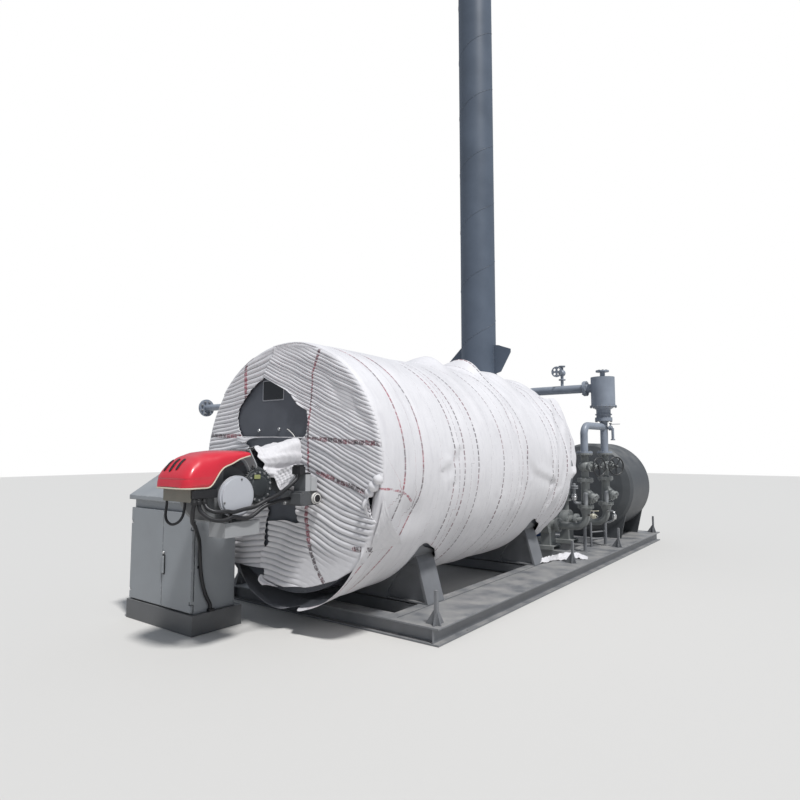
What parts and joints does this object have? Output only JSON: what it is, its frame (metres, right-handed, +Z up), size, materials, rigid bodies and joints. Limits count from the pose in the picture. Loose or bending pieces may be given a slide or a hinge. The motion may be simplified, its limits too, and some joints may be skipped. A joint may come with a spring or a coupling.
{
  "type": "industrial boiler",
  "caption": "Skid mounted horizontal thermal oil boiler wrapped in white woven fabric, with a red hooded burner, control cabinet, valve and pump group and steel stack.",
  "frame": {"origin": "centre of the four anchor holes, on the underside of the skid", "axes": "+Z up, -Y towards the burner end, +X towards the valve and pump side"},
  "size_m": [2.5643, 7.3899, 8],
  "materials": {
    "skid_paint": "semi-gloss",
    "shell_steel": "satin",
    "wrap_fabric": "woven",
    "stack_paint": "satin",
    "pipe_paint": "satin",
    "burner_grey": "satin",
    "hood_red": "gloss",
    "tray_beige": "satin",
    "damper_grey": "satin",
    "motor_dark": "satin",
    "cabinet_paint": "satin",
    "plinth_paint": "satin",
    "valve_iron": "cast",
    "wheel_black": "painted",
    "motor_blue": "gloss",
    "drum_paint": "satin",
    "cable_black": "corrugated"
  },
  "bodies": {
    "plant": {"skid_beam_right": "skid_paint", "skid_beam_left": "skid_paint", "skid_end_beams": "skid_paint", "skid_cross_members": "skid_paint", "lifting_lugs": "skid_paint", "saddles": "skid_paint", "shell": "shell_steel", "front_end": "shell_steel", "rear_end": "shell_steel", "front_box": "shell_steel", "wrap_side": "wrap_fabric", "wrap_front": "wrap_fabric", "stack_base": "shell_steel", "stack": "stack_paint", "oil_nozzle": "pipe_paint", "burner_body": "burner_grey", "burner_hood": "hood_red", "burner_tray": "tray_beige", "air_damper": "damper_grey", "fan_motor": "motor_dark", "gas_train": "burner_grey", "cable_clips": "cable_black", "conduit_cabinet": "cable_black", "conduit_loop": "cable_black", "conduit_upper": "cable_black", "conduit_lower": "cable_black", "cabinet_plinth": "plinth_paint", "cabinet_body": "cabinet_paint", "cabinet_top": "cabinet_paint", "separator": "pipe_paint", "header_pipe": "pipe_paint", "u_bend": "pipe_paint", "globe_valve_left": "valve_iron", "globe_valve_right": "valve_iron", "strainers": "valve_iron", "pump_left": "valve_iron", "pump_right": "valve_iron", "pump_motors": "motor_blue", "discharge_header": "valve_iron", "pipe_stand": "skid_paint", "rear_drum": "drum_paint"},
    "door_left": {"cabinet_door_left": "cabinet_paint"},
    "door_right": {"cabinet_door_right": "cabinet_paint"},
    "wheel_left": {"handwheel_left": "wheel_black"},
    "wheel_right": {"handwheel_right": "wheel_black"}
  },
  "joints": [
    {"name": "door_left_hinge", "type": "hinge", "parent": "plant", "child": "door_left", "pos_m": [-1.258, -3.884, 0.5], "axis": [0, 0, -1], "range_deg": [0, 100]},
    {"name": "door_right_hinge", "type": "hinge", "parent": "plant", "child": "door_right", "pos_m": [-0.438, -3.884, 0.5], "axis": [0, 0, 1], "range_deg": [0, 95]},
    {"name": "wheel_left_turn", "type": "hinge", "parent": "plant", "child": "wheel_left", "pos_m": [1.07203, 0.58647, 1.1375], "axis": [0.9397, -0.342, 0], "continuous": true},
    {"name": "wheel_right_turn", "type": "hinge", "parent": "plant", "child": "wheel_right", "pos_m": [1.09324, 1.15977, 1.1375], "axis": [0.829, -0.5592, 0], "continuous": true}
  ]
}
